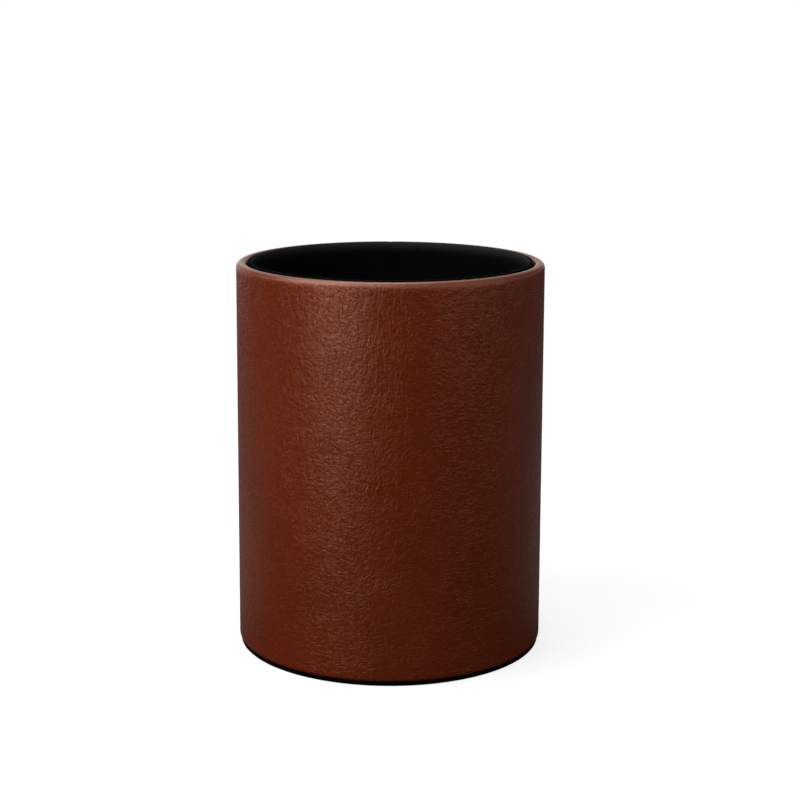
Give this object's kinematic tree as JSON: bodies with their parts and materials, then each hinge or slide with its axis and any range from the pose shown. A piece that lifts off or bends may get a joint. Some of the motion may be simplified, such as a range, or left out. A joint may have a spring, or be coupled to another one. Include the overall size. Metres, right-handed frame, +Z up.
{
  "type": "desk pen cup",
  "caption": "Round desk cup for pens: a rigid board tube covered in grained brown leather with a turned rim, black cloth lining and a thin black cloth-covered foot.",
  "frame": {"origin": "centre of the cup's underside, on the surface that it stands on", "axes": "+Z up along the cup's own axis, -Y the front that is seen in use, +Y the back, where the leather's seam runs"},
  "size_m": [0.08, 0.08, 0.1012],
  "materials": {
    "brown_leather": "grained, semi-matt brown leather",
    "black_cloth": "black brushed cloth with a short nap",
    "grey_board": "uncoated solid grey board of recycled paper"
  },
  "bodies": {
    "root": {"core_tube": "grey_board", "base_board": "grey_board", "leather_wrap": "brown_leather", "lining_card": "grey_board", "lining_cloth": "black_cloth", "floor_card": "grey_board", "floor_cloth": "black_cloth", "foot_card": "grey_board", "foot_cloth": "black_cloth"}
  },
  "joints": []
}
